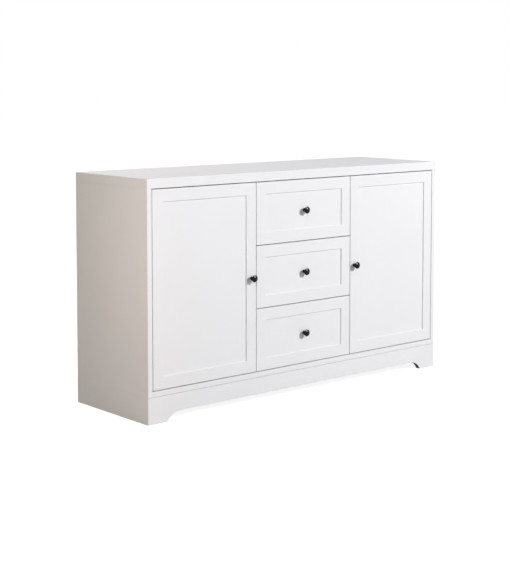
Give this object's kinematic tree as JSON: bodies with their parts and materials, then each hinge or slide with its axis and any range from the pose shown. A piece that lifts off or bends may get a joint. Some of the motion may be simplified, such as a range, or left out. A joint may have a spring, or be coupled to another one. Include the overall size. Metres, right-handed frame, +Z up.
{
  "type": "sideboard buffet",
  "caption": "White sideboard on a shaped plinth, with hinged cabinet doors either side of a stack of drawers, routed recessed fronts and small black knobs.",
  "frame": {"origin": "on the floor, in the middle of the box that holds the body and its knobs", "axes": "+X along the width, the fronts face -Y, +Z up"},
  "size_m": [1.37, 0.4388, 0.8],
  "materials": {
    "white_laminate": "fibreboard under a smooth satin white laminate",
    "white_backing": "thin hardboard, white on one face, matte",
    "drawer_box": "fibreboard under white foil, matte",
    "knob_black": "glossy black enamel",
    "plated_steel": "bright nickel plating",
    "cam_zinc": "die-cast, dull",
    "screw_steel": "zinc plated",
    "pin_steel": "bright nickel plating",
    "catch_plastic": "moulded white plastic"
  },
  "bodies": {
    "carcass": {"back_panel_centre": "white_backing", "back_panel_left": "white_backing", "back_panel_right": "white_backing", "bottom_panel": "white_laminate", "cam_bolts": "plated_steel", "cam_locks": "cam_zinc", "carcass_screws": "screw_steel", "door_catches": "catch_plastic", "hinge_arms": "plated_steel", "hinge_plates": "plated_steel", "partition_left": "white_laminate", "partition_right": "white_laminate", "plinth_back": "white_laminate", "plinth_braces": "white_laminate", "plinth_front": "white_laminate", "plinth_side_left": "white_laminate", "plinth_side_right": "white_laminate", "shelf_left": "white_laminate", "shelf_pins": "pin_steel", "shelf_right": "white_laminate", "side_panel_left": "white_laminate", "side_panel_right": "white_laminate", "slide_outer_members": "plated_steel", "top_panel": "white_laminate"},
    "door_left": {"catch_strike_left": "plated_steel", "door_knob_left": "knob_black", "door_panel_left": "white_laminate", "door_screws_left": "screw_steel", "hinge_cups_left": "plated_steel", "hinge_pins_left": "plated_steel"},
    "door_right": {"catch_strike_right": "plated_steel", "door_knob_right": "knob_black", "door_panel_right": "white_laminate", "door_screws_right": "screw_steel", "hinge_cups_right": "plated_steel", "hinge_pins_right": "plated_steel"},
    "drawer_top": {"drawer_back_top": "drawer_box", "drawer_bottom_top": "white_backing", "drawer_front_top": "white_laminate", "drawer_knob_top": "knob_black", "drawer_side_left_top": "drawer_box", "drawer_side_right_top": "drawer_box", "slide_inner_members_top": "plated_steel"},
    "drawer_middle": {"drawer_back_middle": "drawer_box", "drawer_bottom_middle": "white_backing", "drawer_front_middle": "white_laminate", "drawer_knob_middle": "knob_black", "drawer_side_left_middle": "drawer_box", "drawer_side_right_middle": "drawer_box", "slide_inner_members_middle": "plated_steel"},
    "drawer_bottom": {"drawer_back_bottom": "drawer_box", "drawer_bottom_bottom": "white_backing", "drawer_front_bottom": "white_laminate", "drawer_knob_bottom": "knob_black", "drawer_side_left_bottom": "drawer_box", "drawer_side_right_bottom": "drawer_box", "slide_inner_members_bottom": "plated_steel"},
    "slides_top": {"slide_middle_members_top": "plated_steel"},
    "slides_middle": {"slide_middle_members_middle": "plated_steel"},
    "slides_bottom": {"slide_middle_members_bottom": "plated_steel"}
  },
  "joints": [
    {"name": "door_left_hinge", "type": "hinge", "parent": "carcass", "child": "door_left", "pos_m": [-0.6455, -0.1863, 0.438], "axis": [0, 0, -1], "range_deg": [0, 95]},
    {"name": "door_right_hinge", "type": "hinge", "parent": "carcass", "child": "door_right", "pos_m": [0.6455, -0.1863, 0.438], "axis": [0, 0, 1], "range_deg": [0, 95]},
    {"name": "drawer_top_slide", "type": "slide", "parent": "carcass", "child": "drawer_top", "axis": [0, -1, 0], "range_m": [0, 0.35]},
    {"name": "slides_top_travel", "type": "slide", "parent": "carcass", "child": "slides_top", "axis": [0, -1, 0], "range_m": [0, 0.175]},
    {"name": "drawer_middle_slide", "type": "slide", "parent": "carcass", "child": "drawer_middle", "axis": [0, -1, 0], "range_m": [0, 0.35]},
    {"name": "slides_middle_travel", "type": "slide", "parent": "carcass", "child": "slides_middle", "axis": [0, -1, 0], "range_m": [0, 0.175]},
    {"name": "drawer_bottom_slide", "type": "slide", "parent": "carcass", "child": "drawer_bottom", "axis": [0, -1, 0], "range_m": [0, 0.35]},
    {"name": "slides_bottom_travel", "type": "slide", "parent": "carcass", "child": "slides_bottom", "axis": [0, -1, 0], "range_m": [0, 0.175]}
  ],
  "couplings": [
    {"joint": "slides_top_travel", "follows": "drawer_top_slide", "ratio": 0.5},
    {"joint": "slides_middle_travel", "follows": "drawer_middle_slide", "ratio": 0.5},
    {"joint": "slides_bottom_travel", "follows": "drawer_bottom_slide", "ratio": 0.5}
  ]
}
